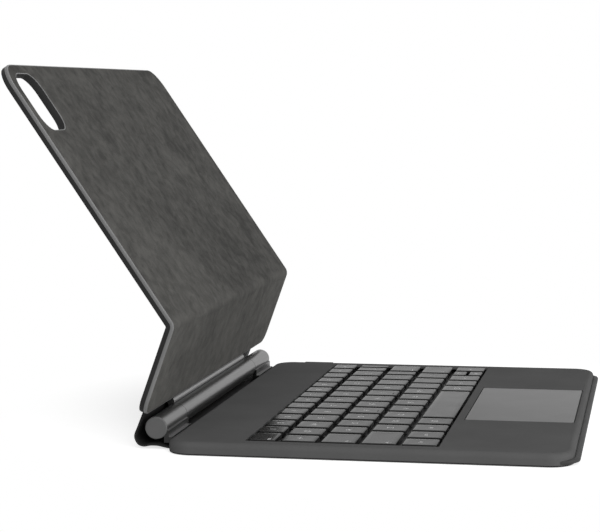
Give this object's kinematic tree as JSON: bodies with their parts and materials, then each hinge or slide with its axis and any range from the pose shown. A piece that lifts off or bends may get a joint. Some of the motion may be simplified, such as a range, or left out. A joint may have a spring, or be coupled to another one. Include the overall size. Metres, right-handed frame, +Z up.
{
  "type": "tablet keyboard case",
  "caption": "Folio keyboard case for a tablet: flat keyboard base with trackpad, full-width barrel hinge and a suede-lined back panel that folds in two to hold the tablet above the keys.",
  "frame": {"origin": "centre of the base's underside, on the table", "axes": "+X to the user's right, +Y away from the user towards the hinge, +Z up"},
  "size_m": [0.2524, 0.2587, 0.1735],
  "materials": {
    "outer_skin": "fine-grained leather-like coating, matte black-grey",
    "suede_lining": "brushed suede, mottled grey-brown",
    "deck_plastic": "soft-touch dark grey moulding",
    "tray_plastic": "black moulding",
    "key_plastic": "satin mid-grey keycap",
    "trackpad_surface": "fine satin pad",
    "circuit_board": "solder mask",
    "switch_film": "black printed film",
    "dome_rubber": "soft silicone",
    "steel_sheet": "plain stamped steel",
    "steel_fixings": "plain steel",
    "bronze_sleeve": "sintered bronze",
    "hinge_aluminium": "satin grey anodised",
    "panel_board": "glass-filled sheet",
    "magnet_metal": "nickel plated",
    "battery_foil": "pouch foil",
    "ribbon_film": "flat flexible cable",
    "switch_body": "moulded switch"
  },
  "bodies": {
    "base": {"base_skin": "outer_skin", "bottom_tray": "tray_plastic", "top_deck": "deck_plastic", "deck_screws": "steel_fixings", "leaf_screws": "steel_fixings", "key_plate": "steel_sheet", "switch_membrane": "switch_film", "dome_sheet": "dome_rubber", "trackpad_flexure": "steel_sheet", "trackpad_switch": "switch_body", "main_board": "circuit_board", "charging_socket": "steel_fixings", "battery_left": "battery_foil", "battery_right": "battery_foil", "closing_magnets": "magnet_metal", "ribbon_cables": "ribbon_film", "base_knuckle_left": "hinge_aluminium", "base_knuckle_right": "hinge_aluminium", "hinge_pin_left": "steel_fixings", "hinge_pin_right": "steel_fixings", "end_cap_left": "hinge_aluminium", "end_cap_right": "hinge_aluminium", "spine_skin": "outer_skin"},
    "lower_panel": {"panel_knuckle": "hinge_aluminium", "friction_sleeve_left": "bronze_sleeve", "friction_sleeve_right": "bronze_sleeve", "lower_lining": "suede_lining", "lower_board": "panel_board", "lower_cover": "outer_skin", "fin_rivets": "steel_fixings", "fold_lining": "suede_lining", "fold_cover": "outer_skin"},
    "upper_panel": {"upper_lining": "suede_lining", "upper_board": "panel_board", "upper_cover": "outer_skin", "tablet_magnets": "magnet_metal"},
    "trackpad": {"trackpad_plate": "trackpad_surface", "trackpad_board": "circuit_board"},
    "key_escape": {"key_escape": "key_plastic"},
    "keys_numbers": {"keys_numbers": "key_plastic"},
    "key_backspace": {"key_backspace": "key_plastic"},
    "key_tab": {"key_tab": "key_plastic"},
    "keys_top_letters": {"keys_top_letters": "key_plastic"},
    "key_bracket": {"key_bracket": "key_plastic"},
    "key_bar": {"key_bar": "key_plastic"},
    "key_caps": {"key_caps": "key_plastic"},
    "keys_home_letters": {"keys_home_letters": "key_plastic"},
    "key_quote": {"key_quote": "key_plastic"},
    "key_enter": {"key_enter": "key_plastic"},
    "key_shift_left": {"key_shift_left": "key_plastic"},
    "keys_bottom_letters": {"keys_bottom_letters": "key_plastic"},
    "key_shift_right": {"key_shift_right": "key_plastic"},
    "keys_left_commands": {"keys_left_commands": "key_plastic"},
    "key_space": {"key_space": "key_plastic"},
    "keys_right_commands": {"keys_right_commands": "key_plastic"},
    "key_arrow_left": {"key_arrow_left": "key_plastic"},
    "key_arrow_up": {"key_arrow_up": "key_plastic"},
    "key_arrow_down": {"key_arrow_down": "key_plastic"},
    "key_arrow_right": {"key_arrow_right": "key_plastic"}
  },
  "joints": [
    {"name": "barrel_hinge", "type": "hinge", "parent": "base", "child": "lower_panel", "pos_m": [0, 0.09755, 0.00933], "axis": [1, 0, 0], "range_deg": [0, 70.1], "deforming": ["spine_skin"]},
    {"name": "panel_fold", "type": "hinge", "parent": "lower_panel", "child": "upper_panel", "pos_m": [0, 0.08403, 0.058], "axis": [1, 0, 0], "range_deg": [-7, 53.9], "deforming": ["fold_lining", "fold_cover"]},
    {"name": "trackpad_click", "type": "hinge", "parent": "base", "child": "trackpad", "pos_m": [0, -0.03585, 0.0041], "axis": [1, 0, 0], "range_deg": [0, 0.5], "stiffness_Nm_per_rad": 2, "springref_deg": -0.69},
    {"name": "press_escape", "type": "slide", "parent": "base", "child": "key_escape", "axis": [0, 0, -1], "range_m": [0, 0.001], "stiffness_N_per_m": 600, "springref_m": -0.0003, "deforming": ["dome_sheet"]},
    {"name": "press_numbers", "type": "slide", "parent": "base", "child": "keys_numbers", "axis": [0, 0, -1], "range_m": [0, 0.001], "stiffness_N_per_m": 7200, "springref_m": -0.0003, "deforming": ["dome_sheet"]},
    {"name": "press_backspace", "type": "slide", "parent": "base", "child": "key_backspace", "axis": [0, 0, -1], "range_m": [0, 0.001], "stiffness_N_per_m": 600, "springref_m": -0.0003, "deforming": ["dome_sheet"]},
    {"name": "press_tab", "type": "slide", "parent": "base", "child": "key_tab", "axis": [0, 0, -1], "range_m": [0, 0.001], "stiffness_N_per_m": 600, "springref_m": -0.0003, "deforming": ["dome_sheet"]},
    {"name": "press_top_letters", "type": "slide", "parent": "base", "child": "keys_top_letters", "axis": [0, 0, -1], "range_m": [0, 0.001], "stiffness_N_per_m": 6600, "springref_m": -0.0003, "deforming": ["dome_sheet"]},
    {"name": "press_bracket", "type": "slide", "parent": "base", "child": "key_bracket", "axis": [0, 0, -1], "range_m": [0, 0.001], "stiffness_N_per_m": 600, "springref_m": -0.0003, "deforming": ["dome_sheet"]},
    {"name": "press_bar", "type": "slide", "parent": "base", "child": "key_bar", "axis": [0, 0, -1], "range_m": [0, 0.001], "stiffness_N_per_m": 600, "springref_m": -0.0003, "deforming": ["dome_sheet"]},
    {"name": "press_caps", "type": "slide", "parent": "base", "child": "key_caps", "axis": [0, 0, -1], "range_m": [0, 0.001], "stiffness_N_per_m": 600, "springref_m": -0.0003, "deforming": ["dome_sheet"]},
    {"name": "press_home_letters", "type": "slide", "parent": "base", "child": "keys_home_letters", "axis": [0, 0, -1], "range_m": [0, 0.001], "stiffness_N_per_m": 6000, "springref_m": -0.0003, "deforming": ["dome_sheet"]},
    {"name": "press_quote", "type": "slide", "parent": "base", "child": "key_quote", "axis": [0, 0, -1], "range_m": [0, 0.001], "stiffness_N_per_m": 600, "springref_m": -0.0003, "deforming": ["dome_sheet"]},
    {"name": "press_enter", "type": "slide", "parent": "base", "child": "key_enter", "axis": [0, 0, -1], "range_m": [0, 0.001], "stiffness_N_per_m": 600, "springref_m": -0.0003, "deforming": ["dome_sheet"]},
    {"name": "press_shift_left", "type": "slide", "parent": "base", "child": "key_shift_left", "axis": [0, 0, -1], "range_m": [0, 0.001], "stiffness_N_per_m": 600, "springref_m": -0.0003, "deforming": ["dome_sheet"]},
    {"name": "press_bottom_letters", "type": "slide", "parent": "base", "child": "keys_bottom_letters", "axis": [0, 0, -1], "range_m": [0, 0.001], "stiffness_N_per_m": 6000, "springref_m": -0.0003, "deforming": ["dome_sheet"]},
    {"name": "press_shift_right", "type": "slide", "parent": "base", "child": "key_shift_right", "axis": [0, 0, -1], "range_m": [0, 0.001], "stiffness_N_per_m": 600, "springref_m": -0.0003, "deforming": ["dome_sheet"]},
    {"name": "press_left_commands", "type": "slide", "parent": "base", "child": "keys_left_commands", "axis": [0, 0, -1], "range_m": [0, 0.001], "stiffness_N_per_m": 2400, "springref_m": -0.0003, "deforming": ["dome_sheet"]},
    {"name": "press_space", "type": "slide", "parent": "base", "child": "key_space", "axis": [0, 0, -1], "range_m": [0, 0.001], "stiffness_N_per_m": 600, "springref_m": -0.0003, "deforming": ["dome_sheet"]},
    {"name": "press_right_commands", "type": "slide", "parent": "base", "child": "keys_right_commands", "axis": [0, 0, -1], "range_m": [0, 0.001], "stiffness_N_per_m": 1200, "springref_m": -0.0003, "deforming": ["dome_sheet"]},
    {"name": "press_arrow_left", "type": "slide", "parent": "base", "child": "key_arrow_left", "axis": [0, 0, -1], "range_m": [0, 0.001], "stiffness_N_per_m": 600, "springref_m": -0.0003, "deforming": ["dome_sheet"]},
    {"name": "press_arrow_up", "type": "slide", "parent": "base", "child": "key_arrow_up", "axis": [0, 0, -1], "range_m": [0, 0.001], "stiffness_N_per_m": 600, "springref_m": -0.0003, "deforming": ["dome_sheet"]},
    {"name": "press_arrow_down", "type": "slide", "parent": "base", "child": "key_arrow_down", "axis": [0, 0, -1], "range_m": [0, 0.001], "stiffness_N_per_m": 600, "springref_m": -0.0003, "deforming": ["dome_sheet"]},
    {"name": "press_arrow_right", "type": "slide", "parent": "base", "child": "key_arrow_right", "axis": [0, 0, -1], "range_m": [0, 0.001], "stiffness_N_per_m": 600, "springref_m": -0.0003, "deforming": ["dome_sheet"]}
  ]
}
